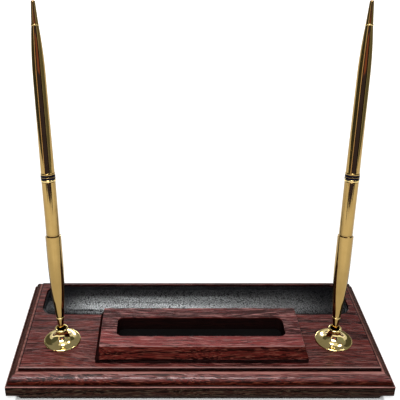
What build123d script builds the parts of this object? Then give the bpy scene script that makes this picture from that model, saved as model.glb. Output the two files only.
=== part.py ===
from build123d import *
import os
from math import radians, tan

# A desk pen set with a phone slot: a moulded wooden base that carries a leather-lined tray,
# a slotted block, two brass pen sockets and two slim twist pens.
# Lengths are in millimetres and angles in degrees. X runs along the base, Y from front to back,
# and Z up from the desk. The origin is under the middle of the base.

# Wooden base and its moulded edge
base_length = 222.0
base_depth = 103.0
edge_band_height = 6.5
edge_ledge_width = 1.45
edge_round_radius = 5.6
edge_step_height = 1.8
edge_break = 0.35

# Felt pad under the base
pad_thickness = 2.1
pad_end_inset = 6.8
pad_side_inset = 0.4
pad_corner_radius = 2.0

# Tray along the back of the base, and its leather
tray_depth = 4.8
tray_back_rim = 2.6
tray_end_rim = 4.45
tray_front_gap = 4.85
tray_corner_radius = 9.0
tray_end_straight = 0.5
tray_cove_radius = 3.4
leather_thickness = 1.2
leather_reveal = 1.0
leather_glue_gap = 0.1

# Raised block with the phone slot
block_height = 10.3
block_plinth_height = 2.65
block_bevel_inset = 2.7
block_corner_radius = 0.8
block_front_setback = 12.1
block_side_shift = 1.4
slot_width = 18.7
slot_end_wall = 11.8
slot_side_wall = 11.85
slot_corner_radius = 4.0
slot_pad_thickness = 1.5
slot_pad_gap = 0.3

# Wood screws that hold the block from below
screw_radius = 1.75
screw_head_radius = 3.2
screw_head_height = 2.2
screw_bite = 7.5
screw_row_margin = 9.2
screw_point_length = 2.4
screw_point_radius = 0.3
screw_drive_width = 0.9
screw_drive_length = 3.6
screw_drive_depth = 1.2

# Brass pen sockets
socket_end_margin = 28.9
socket_block_gap = 7.8
socket_flange_radius = 11.1
socket_flange_edge = 0.8
socket_height = 9.3
socket_rim_radius = 3.95
socket_lip_height = 0.55
socket_waist_radius = 3.4
socket_waist_height = 7.2
cup_mouth_radius = 2.75
cup_floor_radius = 2.3
cup_floor_height = 1.8

# Stud, washer and nut that hold each socket
stud_radius = 2.0
stud_overhang = 0.5
washer_radius = 5.0
washer_thickness = 0.8
nut_across_flats = 7.0
nut_thickness = 3.2
recess_cover = 0.9
recess_side_room = 0.8
hole_clearance = 0.15

# How each pen stands in its socket
pen_lean_back = 12.0
pen_lean_out = 2.45
pen_tip_forward = 0.8
pen_tip_gap = 0.3

# Pen lengths, from the writing point upwards
point_length = 3.0
nose_length = 10.0
nose_ring_length = 1.0
lower_barrel_length = 50.9
lower_barrel_straight = 15.0
joint_groove_length = 0.6
middle_sleeve_length = 32.1
lip_ring_length = 1.4
black_ring_length = 1.1
hairline_length = 0.3
turn_gap = 0.1
upper_barrel_length = 81.8
upper_lip_length = 1.2
upper_taper_length = 27.0
tail_ring_length = 0.8
tail_cap_length = 12.3

# Pen radii
nose_tip_radius = 1.15
nose_base_radius = 2.2
nose_ring_radius = 2.45
lower_barrel_front_radius = 2.35
lower_barrel_radius = 4.55
joint_groove_radius = 3.6
middle_sleeve_radius = 3.92
middle_sleeve_top_radius = 4.05
lip_ring_radius = 4.25
black_ring_radius = 4.2
hairline_radius = 4.25
upper_lip_radius = 4.15
upper_barrel_radius = 3.95
upper_shoulder_radius = 3.68
upper_tail_radius = 2.1
tail_ring_radius = 2.3
tail_cap_radius = 2.05
tail_tip_radius = 1.15
tail_tip_round = 0.5
barrel_edge_break = 0.25

# Inside of the pen
refill_ball_radius = 0.35
refill_cone_length = 1.6
refill_neck_radius = 0.9
refill_neck_room = 0.6
refill_body_radius = 1.5
refill_clearance = 0.43
neck_clearance = 0.1
thread_clearance = 0.03
thread_end_room = 0.3
nose_spigot_length = 6.0
sleeve_spigot_radius = 2.87
sleeve_spigot_length = 11.7
tube_radius = 2.57
tube_bore_radius = 1.75
tube_lower_grip = 8.5
tube_upper_reach = 21.5
turn_clearance = 0.05
driver_clearance = 0.06
driver_length = 5.0
driver_headroom = 9.9
upper_bore_depth = 46.0
tail_spigot_radius = 1.17
tail_spigot_length = 8.0

# How far cuts run past the face that they open
overrun = 1.0

# Levels and places that follow from the sizes
board_thickness = edge_band_height + edge_round_radius + edge_step_height
board_bottom = pad_thickness
board_top = board_bottom + board_thickness
edge_inset = edge_ledge_width + edge_round_radius
block_depth = slot_width + 2 * slot_side_wall
tray_length = base_length - 2 * (edge_inset + tray_end_rim)
tray_width = base_depth - edge_inset - tray_back_rim - tray_front_gap - block_depth - block_front_setback
tray_y = base_depth / 2 - edge_inset - tray_back_rim - tray_width / 2
block_y = block_front_setback + block_depth / 2 - base_depth / 2
block_plane = Plane(origin=(block_side_shift, block_y, board_top))
socket_x = base_length / 2 - socket_end_margin
block_length = 2 * (socket_x - socket_flange_radius - socket_block_gap - block_side_shift)
slot_length = block_length - 2 * slot_end_wall
recess_depth = washer_thickness + nut_thickness + stud_overhang + recess_cover
recess_ceiling = board_bottom + recess_depth
stud_length = board_thickness - recess_cover
screw_spacing = (slot_length + block_length) / 2
screw_row_spacing = block_depth - 2 * screw_row_margin
screw_length = board_top - recess_ceiling + screw_bite
screw_places = [
    (block_side_shift + x * screw_spacing / 2, block_y + y * screw_row_spacing / 2)
    for x in (-1, 1)
    for y in (-1, 1)
]
socket_places = [(side * socket_x, block_y) for side in (-1, 1)]

# Heights along the pen, from the writing point
nose_start = point_length
nose_ring_start = nose_start + nose_length
lower_barrel_start = nose_ring_start + nose_ring_length
middle_sleeve_start = lower_barrel_start + lower_barrel_length
lip_ring_start = middle_sleeve_start + middle_sleeve_length
lower_black_start = lip_ring_start + lip_ring_length
hairline_start = lower_black_start + black_ring_length
upper_black_start = hairline_start + hairline_length
upper_barrel_start = upper_black_start + black_ring_length + turn_gap
tail_ring_start = upper_barrel_start + upper_barrel_length
tail_cap_start = tail_ring_start + tail_ring_length
pen_length = tail_cap_start + tail_cap_length
tube_start = lip_ring_start - tube_lower_grip
tube_end = upper_barrel_start + tube_upper_reach
refill_length = tube_end - driver_headroom - driver_length
barrel_bore_radius = refill_body_radius + refill_clearance
nose_bore_radius = refill_neck_radius + neck_clearance
nose_spigot_end = nose_ring_start + nose_spigot_length
refill_body_start = nose_spigot_end + refill_neck_room
ring_bore_radius = tube_radius + thread_clearance

os.makedirs("parts", exist_ok=True)


def keep(piece, name):
    """Labels a finished piece and writes its file."""
    piece.label = name
    export_step(piece, f"parts/{name}.step")


def tray_form(inset, top):
    """The tray's coved hollow, drawn in by inset on every side, up to the height top."""
    floor = board_top - tray_depth + inset
    corner_radius = min(tray_corner_radius, (tray_width - tray_end_straight) / 2)
    with BuildPart() as form:
        with BuildSketch(Plane.XY.offset(floor)):
            with Locations((0, tray_y)):
                RectangleRounded(tray_length - 2 * inset, tray_width - 2 * inset, corner_radius - inset)
        extrude(amount=top - floor)
        fillet(form.faces().sort_by(Axis.Z)[0].edges(), tray_cove_radius - inset)
    return form.part


# Wooden base

with BuildPart() as moulding_round:
    with BuildSketch(Plane.XY.offset(board_bottom)):
        Rectangle(base_length - 2 * edge_ledge_width, base_depth - 2 * edge_ledge_width)
    extrude(amount=edge_band_height + edge_round_radius)
    fillet(moulding_round.faces().sort_by(Axis.Z)[-1].edges(), edge_round_radius)

with BuildPart() as base_board:
    with BuildSketch(Plane.XY.offset(board_bottom)):
        Rectangle(base_length, base_depth)
    extrude(amount=edge_band_height)
    fillet(base_board.edges(), edge_break)
    add(moulding_round.part)
    with BuildSketch(Plane.XY.offset(board_bottom + edge_band_height)):
        Rectangle(base_length - 2 * edge_inset, base_depth - 2 * edge_inset)
    extrude(amount=edge_round_radius + edge_step_height)
    fillet(base_board.faces().sort_by(Axis.Z)[-1].edges(), edge_break)
    add(tray_form(0, board_top + overrun), mode=Mode.SUBTRACT)
    fillet(base_board.faces().sort_by(Axis.Z)[-1].inner_wires()[0].edges(), edge_break)
    # Recesses for the fasteners, open to the underside, and their holes
    with BuildSketch(Plane.XY.offset(board_bottom)):
        with Locations(*socket_places):
            Circle(washer_radius + recess_side_room)
        with Locations(*screw_places):
            Circle(screw_head_radius + recess_side_room)
    extrude(amount=recess_depth, mode=Mode.SUBTRACT)
    with BuildSketch(Plane.XY.offset(board_bottom)):
        with Locations(*socket_places):
            Circle(stud_radius + hole_clearance)
        with Locations(*screw_places):
            Circle(screw_radius + hole_clearance)
    extrude(amount=board_thickness + overrun, mode=Mode.SUBTRACT)
keep(base_board.part, "base_board")

with BuildPart() as felt_pad:
    with BuildSketch():
        RectangleRounded(base_length - 2 * pad_end_inset, base_depth - 2 * pad_side_inset, pad_corner_radius)
    extrude(amount=pad_thickness)
keep(felt_pad.part, "felt_pad")

with BuildPart() as tray_liner:
    add(tray_form(leather_glue_gap, board_top - leather_reveal))
    add(tray_form(leather_glue_gap + leather_thickness, board_top + overrun), mode=Mode.SUBTRACT)
keep(tray_liner.part, "tray_liner")

# Block with the phone slot

with BuildPart() as phone_block:
    with BuildSketch(block_plane):
        RectangleRounded(block_length, block_depth, block_corner_radius)
    extrude(amount=block_plinth_height)
    with BuildSketch(block_plane.offset(block_plinth_height)):
        RectangleRounded(block_length, block_depth, block_corner_radius)
    with BuildSketch(block_plane.offset(block_height)):
        RectangleRounded(
            block_length - 2 * block_bevel_inset,
            block_depth - 2 * block_bevel_inset,
            block_corner_radius,
        )
    loft()
    with BuildSketch(block_plane):
        RectangleRounded(slot_length, slot_width, slot_corner_radius)
    extrude(amount=block_height, mode=Mode.SUBTRACT)
    fillet(phone_block.faces().sort_by(Axis.Z)[-1].edges(), edge_break)
    with BuildSketch(Plane.XY.offset(board_top)):
        with Locations(*screw_places):
            Circle(screw_radius + thread_clearance)
    extrude(amount=screw_bite + thread_end_room, mode=Mode.SUBTRACT)
keep(phone_block.part, "phone_block")

with BuildPart() as slot_pad:
    with BuildSketch(block_plane):
        RectangleRounded(
            slot_length - 2 * slot_pad_gap,
            slot_width - 2 * slot_pad_gap,
            slot_corner_radius - slot_pad_gap,
        )
    extrude(amount=slot_pad_thickness)
keep(slot_pad.part, "slot_pad")

with BuildPart() as block_screws:
    for place in screw_places:
        with BuildSketch(Plane(origin=(*place, 0), x_dir=(1, 0, 0), z_dir=(0, -1, 0))):
            with BuildLine():
                Polyline(
                    (0, recess_ceiling - screw_head_height),
                    (screw_head_radius, recess_ceiling - screw_head_height),
                    (screw_head_radius, recess_ceiling),
                    (screw_radius, recess_ceiling),
                    (screw_radius, recess_ceiling + screw_length - screw_point_length),
                    (screw_point_radius, recess_ceiling + screw_length),
                    (0, recess_ceiling + screw_length),
                    close=True,
                )
            make_face()
        revolve(axis=Axis((*place, 0), (0, 0, 1)))
    with BuildSketch(Plane.XY.offset(recess_ceiling - screw_head_height)):
        with Locations(*screw_places):
            Rectangle(screw_drive_length, screw_drive_width)
            Rectangle(screw_drive_width, screw_drive_length)
    extrude(amount=screw_drive_depth, mode=Mode.SUBTRACT)
keep(block_screws.part, "block_screws")

# Pen sockets and their fastenings


def make_socket(place):
    """A turned brass bell on a threaded stud, with a tapered cup for the pen's nose."""
    rim_shoulder = socket_height - socket_lip_height
    with BuildPart() as socket:
        with BuildSketch(Plane(origin=(*place, board_top), x_dir=(1, 0, 0), z_dir=(0, -1, 0))):
            with BuildLine():
                Polyline(
                    (0, cup_floor_height),
                    (0, -stud_length),
                    (stud_radius, -stud_length),
                    (stud_radius, 0),
                    (socket_flange_radius, 0),
                    (socket_flange_radius, socket_flange_edge),
                )
                EllipticalCenterArc(
                    (socket_flange_radius, socket_waist_height),
                    socket_flange_radius - socket_waist_radius,
                    socket_waist_height - socket_flange_edge,
                    start_angle=180,
                    arc_size=90,
                )
                TangentArc(
                    (socket_waist_radius, socket_waist_height),
                    (socket_rim_radius, rim_shoulder),
                    tangent=(0, 1),
                )
                ThreePointArc(
                    (socket_rim_radius, rim_shoulder),
                    ((socket_rim_radius + cup_mouth_radius) / 2, socket_height),
                    (cup_mouth_radius, rim_shoulder),
                )
                Polyline(
                    (cup_mouth_radius, rim_shoulder),
                    (cup_floor_radius, cup_floor_height),
                    (0, cup_floor_height),
                )
            make_face()
        revolve(axis=Axis((*place, 0), (0, 0, 1)))
    return socket.part


for side_name, place in zip(("left", "right"), socket_places):
    keep(make_socket(place), f"{side_name}_socket")

with BuildPart() as socket_washers:
    with BuildSketch(Plane.XY.offset(recess_ceiling)):
        with Locations(*socket_places):
            Circle(washer_radius)
            Circle(stud_radius + hole_clearance, mode=Mode.SUBTRACT)
    extrude(amount=-washer_thickness)
keep(socket_washers.part, "socket_washers")

with BuildPart() as socket_nuts:
    with BuildSketch(Plane.XY.offset(recess_ceiling - washer_thickness)):
        with Locations(*socket_places):
            RegularPolygon(nut_across_flats / 2, 6, major_radius=False)
            Circle(stud_radius + thread_clearance, mode=Mode.SUBTRACT)
    extrude(amount=-nut_thickness)
keep(socket_nuts.part, "socket_nuts")

# Pens. Every pen piece is turned about the pen's own axis: in its sketch, X is the radius
# and Y the height above the writing point.


def pen_axis(side):
    """The line of a pen from its writing point upwards."""
    point = (side * socket_x, block_y - pen_tip_forward, board_top + cup_floor_height + pen_tip_gap)
    lean = (side * tan(radians(pen_lean_out)), tan(radians(pen_lean_back)), 1)
    return Axis(point, lean)


def pen_plane(axis):
    """A plane through the pen's axis, with its Y along the pen."""
    across = Vector(0, 1, 0).cross(axis.direction).normalized()
    return Plane(origin=axis.position, x_dir=across, z_dir=across.cross(axis.direction))


def make_ring(axis, start, length, inner_radius, outer_radius):
    """A plain ring with softened outer edges."""
    soft = min(barrel_edge_break, length / 4)
    with BuildPart() as ring:
        with BuildSketch(pen_plane(axis)):
            with BuildLine():
                Polyline(
                    (inner_radius, start),
                    (outer_radius - soft, start),
                    (outer_radius, start + soft),
                    (outer_radius, start + length - soft),
                    (outer_radius - soft, start + length),
                    (inner_radius, start + length),
                    close=True,
                )
            make_face()
        revolve(axis=axis)
    return ring.part


def make_nose_cone(axis):
    """The tapered nose, with a spigot that screws into the lower barrel."""
    spigot_radius = barrel_bore_radius - thread_clearance
    with BuildPart() as nose_cone:
        with BuildSketch(pen_plane(axis)):
            with BuildLine():
                Polyline(
                    (nose_bore_radius, nose_start),
                    (nose_tip_radius, nose_start),
                    (nose_base_radius, nose_ring_start),
                    (spigot_radius, nose_ring_start),
                    (spigot_radius, nose_spigot_end),
                    (nose_bore_radius, nose_spigot_end),
                    close=True,
                )
            make_face()
        revolve(axis=axis)
    return nose_cone.part


def make_lower_barrel(axis):
    """The grip: a long bulging taper that ends in a short straight collar."""
    straight_start = middle_sleeve_start - lower_barrel_straight
    joint_bore_radius = sleeve_spigot_radius + thread_clearance
    joint_bore_start = middle_sleeve_start - sleeve_spigot_length - thread_end_room
    with BuildPart() as lower_barrel:
        with BuildSketch(pen_plane(axis)):
            with BuildLine():
                TangentArc(
                    (lower_barrel_radius, straight_start),
                    (lower_barrel_front_radius, lower_barrel_start),
                    tangent=(0, -1),
                )
                Polyline(
                    (lower_barrel_front_radius, lower_barrel_start),
                    (barrel_bore_radius, lower_barrel_start),
                    (barrel_bore_radius, joint_bore_start),
                    (joint_bore_radius, joint_bore_start),
                    (joint_bore_radius, middle_sleeve_start),
                    (lower_barrel_radius - barrel_edge_break, middle_sleeve_start),
                    (lower_barrel_radius, middle_sleeve_start - barrel_edge_break),
                    (lower_barrel_radius, straight_start),
                )
            make_face()
        revolve(axis=axis)
    return lower_barrel.part


def make_middle_sleeve(axis):
    """The slimmer sleeve between the grip and the centre rings, grooved at its foot."""
    with BuildPart() as middle_sleeve:
        with BuildSketch(pen_plane(axis)):
            with BuildLine():
                Polyline(
                    (barrel_bore_radius, middle_sleeve_start - sleeve_spigot_length),
                    (sleeve_spigot_radius, middle_sleeve_start - sleeve_spigot_length),
                    (sleeve_spigot_radius, middle_sleeve_start),
                    (joint_groove_radius, middle_sleeve_start),
                    (joint_groove_radius, middle_sleeve_start + joint_groove_length),
                    (middle_sleeve_radius, middle_sleeve_start + joint_groove_length),
                    (middle_sleeve_top_radius, lip_ring_start),
                    (ring_bore_radius, lip_ring_start),
                    (ring_bore_radius, tube_start - thread_end_room),
                    (barrel_bore_radius, tube_start - thread_end_room),
                    close=True,
                )
            make_face()
        revolve(axis=axis)
    return middle_sleeve.part


def make_black_rings(axis):
    """The pair of black centre rings, one each side of the hairline ring."""
    with BuildPart() as black_rings:
        for start in (lower_black_start, upper_black_start):
            add(make_ring(axis, start, black_ring_length, ring_bore_radius, black_ring_radius))
    return black_rings.part


def make_upper_barrel(axis):
    """The turning half: a lip above the rings and a near-straight barrel that tapers to the tail."""
    taper_start = tail_ring_start - upper_taper_length
    tail_bore_radius = tail_spigot_radius + thread_clearance
    tail_bore_start = tail_ring_start - tail_spigot_length - thread_end_room
    bore_radius = tube_radius + turn_clearance
    bore_end = upper_barrel_start + upper_bore_depth
    lip_end = upper_barrel_start + upper_lip_length
    along = Vector(upper_shoulder_radius - upper_barrel_radius, taper_start - lip_end)
    with BuildPart() as upper_barrel:
        with BuildSketch(pen_plane(axis)):
            with BuildLine():
                Polyline(
                    (upper_tail_radius, tail_ring_start),
                    (tail_bore_radius, tail_ring_start),
                    (tail_bore_radius, tail_bore_start),
                    (0, tail_bore_start),
                    (0, bore_end),
                    (bore_radius, bore_end),
                    (bore_radius, upper_barrel_start),
                    (upper_lip_radius - barrel_edge_break, upper_barrel_start),
                    (upper_lip_radius, upper_barrel_start + barrel_edge_break),
                    (upper_lip_radius, lip_end - barrel_edge_break),
                    (upper_barrel_radius, lip_end),
                    (upper_shoulder_radius, taper_start),
                )
                TangentArc(
                    (upper_shoulder_radius, taper_start),
                    (upper_tail_radius, tail_ring_start),
                    tangent=along,
                )
            make_face()
        revolve(axis=axis)
    return upper_barrel.part


def make_tail_cap(axis):
    """The pointed tail, with a spigot in the upper barrel and a rounded blunt tip."""
    with BuildPart() as tail_cap:
        with BuildSketch(pen_plane(axis)):
            with BuildLine():
                Polyline(
                    (0, pen_length),
                    (0, tail_ring_start - tail_spigot_length),
                    (tail_spigot_radius, tail_ring_start - tail_spigot_length),
                    (tail_spigot_radius, tail_cap_start),
                    (tail_cap_radius, tail_cap_start),
                    (tail_tip_radius, pen_length - tail_tip_round),
                )
                Spline(
                    (tail_tip_radius, pen_length - tail_tip_round),
                    (0, pen_length),
                    tangents=[(tail_tip_radius - tail_cap_radius, tail_cap_length), (-1, 0)],
                )
            make_face()
        revolve(axis=axis)
    return tail_cap.part


def make_refill(axis):
    """The ballpoint refill: a fine point on a long neck, and a thicker ink tube."""
    with BuildPart() as refill:
        with BuildSketch(pen_plane(axis)):
            with BuildLine():
                Polyline(
                    (0, 0),
                    (refill_ball_radius, 0),
                    (refill_neck_radius, refill_cone_length),
                    (refill_neck_radius, refill_body_start),
                    (refill_body_radius, refill_body_start),
                    (refill_body_radius, refill_length),
                    (0, refill_length),
                    close=True,
                )
            make_face()
        revolve(axis=axis)
    return refill.part


def make_pen(side_name, side):
    """All the pieces of one pen, in their places."""
    axis = pen_axis(side)
    tube_length = tube_end - tube_start
    driver_radius = tube_bore_radius - driver_clearance
    nose_fit_radius = barrel_bore_radius
    tail_fit_radius = tail_spigot_radius + thread_clearance
    pieces = {
        "nose_cone": make_nose_cone(axis),
        "nose_ring": make_ring(axis, nose_ring_start, nose_ring_length, nose_fit_radius, nose_ring_radius),
        "lower_barrel": make_lower_barrel(axis),
        "middle_sleeve": make_middle_sleeve(axis),
        "lip_ring": make_ring(axis, lip_ring_start, lip_ring_length, ring_bore_radius, lip_ring_radius),
        "black_rings": make_black_rings(axis),
        "hairline_ring": make_ring(axis, hairline_start, hairline_length, ring_bore_radius, hairline_radius),
        "upper_barrel": make_upper_barrel(axis),
        "tail_ring": make_ring(axis, tail_ring_start, tail_ring_length, tail_fit_radius, tail_ring_radius),
        "tail_cap": make_tail_cap(axis),
        "twist_tube": make_ring(axis, tube_start, tube_length, tube_bore_radius, tube_radius),
        "refill": make_refill(axis),
        "refill_driver": make_ring(axis, refill_length, driver_length, refill_ball_radius, driver_radius),
    }
    for name, piece in pieces.items():
        keep(piece, f"{side_name}_pen_{name}")


for side_name, side in (("left", -1), ("right", 1)):
    make_pen(side_name, side)
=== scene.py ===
from math import atan2, cos, exp, hypot, pi, radians, sin

import bpy
import numpy as np
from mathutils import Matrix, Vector


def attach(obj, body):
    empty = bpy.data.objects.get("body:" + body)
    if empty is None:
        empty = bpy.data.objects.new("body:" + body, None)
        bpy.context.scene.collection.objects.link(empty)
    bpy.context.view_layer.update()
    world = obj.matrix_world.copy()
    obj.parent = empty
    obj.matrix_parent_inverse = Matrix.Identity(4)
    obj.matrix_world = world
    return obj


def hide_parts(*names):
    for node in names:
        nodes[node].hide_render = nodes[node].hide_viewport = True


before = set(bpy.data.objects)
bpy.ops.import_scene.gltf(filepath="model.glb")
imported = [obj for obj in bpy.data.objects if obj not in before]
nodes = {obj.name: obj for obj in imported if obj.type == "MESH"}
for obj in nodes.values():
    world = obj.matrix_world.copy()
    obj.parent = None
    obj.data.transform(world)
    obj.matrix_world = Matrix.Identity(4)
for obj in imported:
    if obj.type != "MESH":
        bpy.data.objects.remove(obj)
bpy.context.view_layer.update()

MM = 0.001

# Sizes that follow the CAD solids, in millimetres
PAD_HALF = (104.2, 51.1)
PAD_TOP = 2.1
PAD_CORNER = 2.0
BAND_TOP = 8.6
ROUND_TOP = 14.2
BOARD_TOP = 16.0
FLAT_HALF = (103.95, 44.45)
TRAY_Y = 24.85
TRAY_HALF = (99.5, 17.0)
TRAY_CORNER = 9.0
LEATHER_RIM = BOARD_TOP - 1.0
LEATHER_OUTER = 0.1
LEATHER_INNER = 1.3
LEATHER_FLOOR = 12.5
BLOCK_PLACE = (1.4, -18.2)
BLOCK_TOP_HALF = 59.1
BLOCK_TOP = 26.3
PLINTH_TOP = 18.65
WELL_HALF = (50.1, 9.4)
SLOT_PAD_HALF = (49.7, 9.05)
SLOT_PAD_CORNER = 3.7
SLOT_PAD_TOP = 17.5
SOCKET_X = 82.1
FLANGE_RADIUS = 11.1
FLANGE_EDGE = 0.8
WAIST_RADIUS, WAIST_HEIGHT = 3.4, 7.2
RIM_RADIUS, RIM_HEIGHT = 3.95, 8.75
SOCKET_HEIGHT = 9.3
MOUTH_RADIUS = 2.75
CUP_FLOOR = 1.8
STUD_RADIUS, STUD_LENGTH = 2.0, 13.0
PEN_POINT = (SOCKET_X, -19.0, 18.1)
PEN_SLOPE = (0.042787, 0.212557, 1.0)

# Places along a pen, in millimetres from its writing point
NOSE_END = 13.0
GRIP_START = 14.0
GRIP_END = 64.9
SLEEVE_END = 97.0
LIP_END = 98.4
HAIRLINE_START = 99.5
HAIRLINE_END = 99.8
TOP_START = 101.0
TOP_END = 182.8
TAIL_START = 183.6
TAIL_END = 195.9


# Mesh helpers

FIRM_REACH = 0.12
LONG_RUN = 8 * FIRM_REACH
SHARP_ANGLE = 30.0


def new_piece(name, points, faces, body, replaced, sharp=SHARP_ANGLE):
    """A smooth-shaded mesh piece, from points in millimetres, that rides on a body."""
    mesh = bpy.data.meshes.new(name)
    mesh.from_pydata([(x * MM, y * MM, z * MM) for x, y, z in points], [], faces)
    mesh.validate()
    for face in mesh.polygons:
        face.use_smooth = True
    mesh.set_sharp_from_angle(angle=radians(sharp))
    piece = bpy.data.objects.new(name, mesh)
    bpy.context.scene.collection.objects.link(piece)
    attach(piece, body)
    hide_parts(*replaced)
    return piece


def firm(profile):
    """The profile with a point near both ends of each long run, so that smooth shading keeps to the shape."""
    points = profile[:1]
    for a, b in zip(profile, profile[1:]):
        length = hypot(b[0] - a[0], b[1] - a[1])
        if length > LONG_RUN:
            for share in (FIRM_REACH / length, 1 - FIRM_REACH / length):
                points.append((a[0] + (b[0] - a[0]) * share, a[1] + (b[1] - a[1]) * share))
        points.append(b)
    return points


def lathe(name, profile, origin, axis, body, replaced, around=112):
    """A turned piece: profile holds (radius, height) pairs along the axis, in millimetres."""
    profile = firm(profile)
    axis = Vector(axis).normalized()
    across = Vector((0, 1, 0)).cross(axis).normalized()
    deep = axis.cross(across)
    origin = Vector(origin)
    points, rows = [], []
    for radius, height in profile:
        centre = origin + axis * height
        if radius == 0:
            rows.append([len(points)])
            points.append(centre)
            continue
        rows.append(list(range(len(points), len(points) + around)))
        for k in range(around):
            turn = 2 * pi * k / around
            points.append(centre + across * (radius * cos(turn)) + deep * (radius * sin(turn)))
    faces, corners = [], []
    for (low, high), (a, b) in zip(zip(rows, rows[1:]), zip(profile, profile[1:])):
        for k in range(around):
            n = (k + 1) % around
            if len(low) == 1:
                face = [(low[0], k + 0.5, a), (high[n], k + 1, b), (high[k], k, b)]
            elif len(high) == 1:
                face = [(low[k], k, a), (low[n], k + 1, a), (high[0], k + 0.5, b)]
            else:
                face = [(low[k], k, a), (low[n], k + 1, a), (high[n], k + 1, b), (high[k], k, b)]
            faces.append([corner[0] for corner in face])
            corners += [(turn / around, place[1] * MM) for _, turn, place in face]
    piece = new_piece(name, points, faces, body, replaced)
    layer = piece.data.uv_layers.new(name="turned")
    layer.data.foreach_set("uv", np.array(corners, np.float32).ravel())
    return piece


def arc(start, end, bulge_to, count):
    """Points of the circular arc from start to end that passes through bulge_to."""
    (ax, ay), (bx, by), (cx, cy) = start, bulge_to, end
    d = 2 * (ax * (by - cy) + bx * (cy - ay) + cx * (ay - by))
    a2, b2, c2 = ax * ax + ay * ay, bx * bx + by * by, cx * cx + cy * cy
    ox = (a2 * (by - cy) + b2 * (cy - ay) + c2 * (ay - by)) / d
    oy = (a2 * (cx - bx) + b2 * (ax - cx) + c2 * (bx - ax)) / d
    radius = hypot(ax - ox, ay - oy)
    first, middle, last = (atan2(y - oy, x - ox) for x, y in (start, bulge_to, end))
    span = (last - first) % (2 * pi)
    if (middle - first) % (2 * pi) > span:
        span -= 2 * pi
    turns = [first + span * k / count for k in range(count + 1)]
    return [(ox + radius * cos(t), oy + radius * sin(t)) for t in turns]


def tangent_arc(start, along, end, count):
    """Points of the arc that leaves start in the direction along and ends at end."""
    sx, sy = start
    ex, ey = end
    tx, ty = (v / hypot(*along) for v in along)
    nx, ny = -ty, tx
    dx, dy = ex - sx, ey - sy
    radius = (dx * dx + dy * dy) / (2 * (dx * nx + dy * ny))
    ox, oy = sx + nx * radius, sy + ny * radius
    first, last = atan2(sy - oy, sx - ox), atan2(ey - oy, ex - ox)
    span = (last - first + pi) % (2 * pi) - pi
    size = abs(radius)
    turns = [first + span * k / count for k in range(count + 1)]
    return [(ox + size * cos(t), oy + size * sin(t)) for t in turns]


def rounded_ring(half_x, half_y, radius, along_x, along_y, corner):
    """Points round a rounded rectangle about the origin, always as many."""
    radius = max(radius, 0.0)
    flat_x, flat_y = max(half_x - radius, 0), max(half_y - radius, 0)
    ring = []
    for quarter, (sx, sy) in enumerate(((1, -1), (1, 1), (-1, 1), (-1, -1))):
        for k in range(corner):
            turn = radians(quarter * 90 - 90 + 90 * k / corner)
            ring.append((sx * flat_x + radius * cos(turn), sy * flat_y + radius * sin(turn)))
        count = along_y if quarter % 2 == 0 else along_x
        for k in range(count):
            share = k / count
            if quarter % 2 == 0:
                ring.append((sx * (flat_x + radius), sy * flat_y * (1 - 2 * share)))
            else:
                ring.append((sx * flat_x * (1 - 2 * share), sy * (flat_y + radius)))
    return ring


def ring_stack(rings):
    """Points and faces that join rings of as many points, with the first and last ring filled."""
    count = len(rings[0])
    points = [p for ring in rings for p in ring]
    faces = []
    for r in range(len(rings) - 1):
        for k in range(count):
            n = (k + 1) % count
            faces.append([r * count + k, r * count + n, (r + 1) * count + n, (r + 1) * count + k])
    faces.append(list(range(count))[::-1])
    last = (len(rings) - 1) * count
    faces.append(list(range(last, last + count)))
    return points, faces


# Material helpers


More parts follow.
